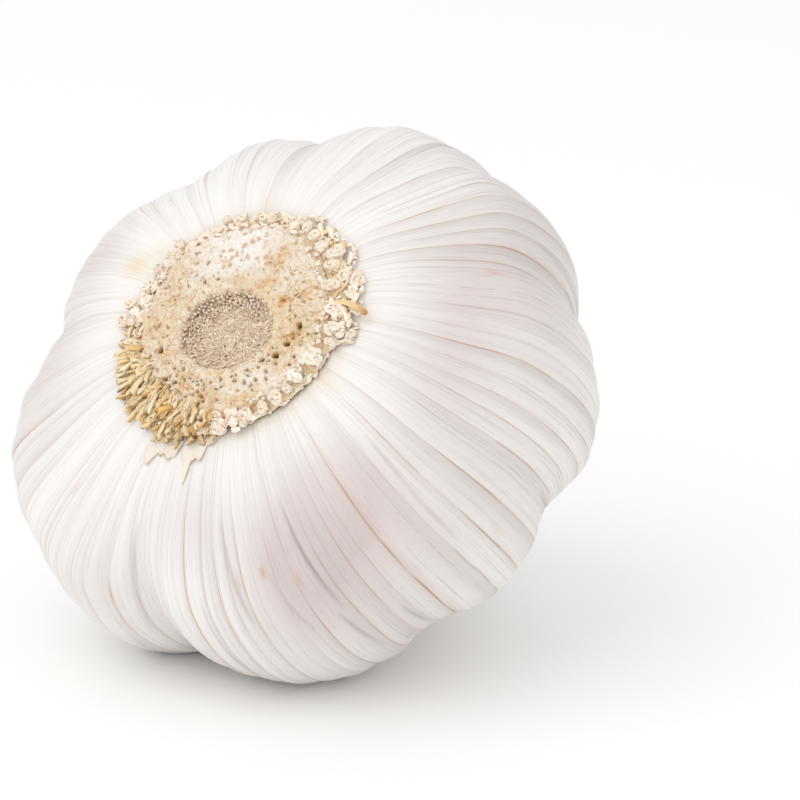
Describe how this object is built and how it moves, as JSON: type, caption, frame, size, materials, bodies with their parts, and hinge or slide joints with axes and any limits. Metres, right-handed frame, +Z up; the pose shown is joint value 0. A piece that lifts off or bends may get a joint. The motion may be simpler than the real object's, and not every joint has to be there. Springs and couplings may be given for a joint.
{
  "type": "garlic bulb",
  "caption": "Whole garlic bulb lying on its side: cloved papery body, corky root plate with cut root stubs, and a trimmed neck with its dried stalk.",
  "frame": {"origin": "on the surface it rests on, under the middle of the whole part's box", "axes": "+Z up; the root plate faces -Y and looks up, the neck points to +Y and down to the surface"},
  "size_m": [0.0584, 0.0556, 0.0542],
  "materials": {
    "papery_skin": "satin",
    "root_cork": "matte",
    "dried_stalk": "matte"
  },
  "bodies": {
    "root": {"papery_bulb": "papery_skin", "root_plate": "root_cork", "flower_stalk": "dried_stalk"}
  },
  "joints": []
}
